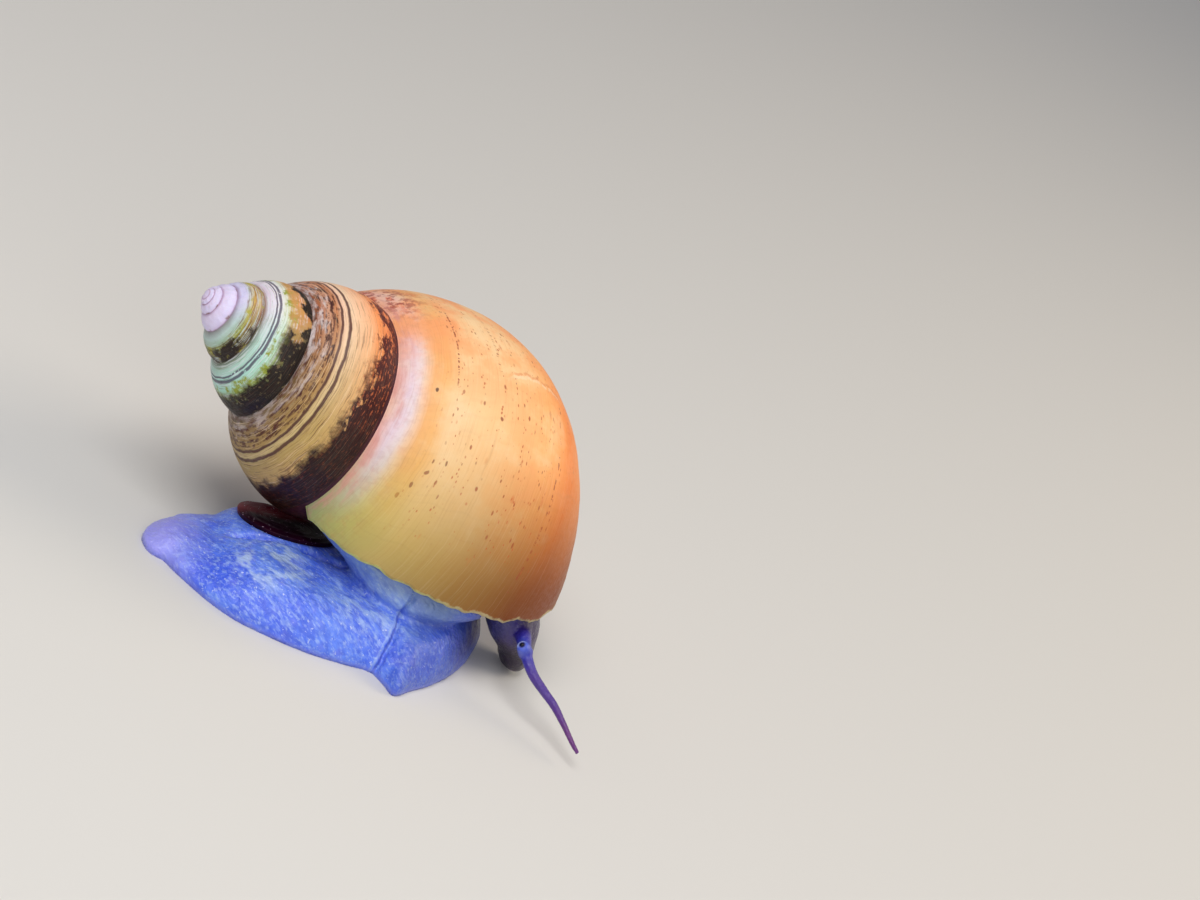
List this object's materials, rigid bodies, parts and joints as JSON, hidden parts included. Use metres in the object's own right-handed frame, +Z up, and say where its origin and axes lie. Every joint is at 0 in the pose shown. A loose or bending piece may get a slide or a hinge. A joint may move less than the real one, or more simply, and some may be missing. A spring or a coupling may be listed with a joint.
{
  "type": "taia snail",
  "caption": "Life-size freshwater snail crawling on a broad flat foot, with a tall right-handed coiled shell, two tentacles and a horny lid on the tail.",
  "frame": {"origin": "on the flat sole of the foot, under the middle of the foot's right half, level with the floor", "axes": "+X towards the head, +Y towards the animal's left, +Z up"},
  "size_m": [0.0322, 0.023, 0.0185],
  "materials": {
    "shell_yellow": "thin horny skin over lime shell, warm yellow, satin",
    "shell_tan": "tan shell with dark brown spiral bands, satin",
    "shell_pale": "worn pale green and lilac shell with dark bands",
    "flesh_blue": "wet blue flesh with pale flecks",
    "flesh_violet": "wet violet flesh",
    "lid_maroon": "dark maroon horn with growth rings",
    "eye_black": "glossy black"
  },
  "bodies": {
    "root": {"shell_body_whorl": "shell_yellow", "shell_penultimate_whorl": "shell_tan", "shell_third_whorl": "shell_pale", "shell_apex": "shell_pale", "foot_tail": "flesh_blue", "foot_middle": "flesh_blue", "foot_front": "flesh_blue", "operculum": "lid_maroon", "body_column": "flesh_blue", "neck": "flesh_blue", "head": "flesh_blue", "snout": "flesh_violet", "tentacle_right_base": "flesh_violet", "tentacle_right_middle": "flesh_violet", "tentacle_right_tip": "flesh_violet", "tentacle_left_base": "flesh_violet", "tentacle_left_middle": "flesh_violet", "tentacle_left_tip": "flesh_violet", "eye_stalk_right": "flesh_blue", "eye_stalk_left": "flesh_blue", "eye_right": "eye_black", "eye_left": "eye_black"}
  },
  "joints": []
}
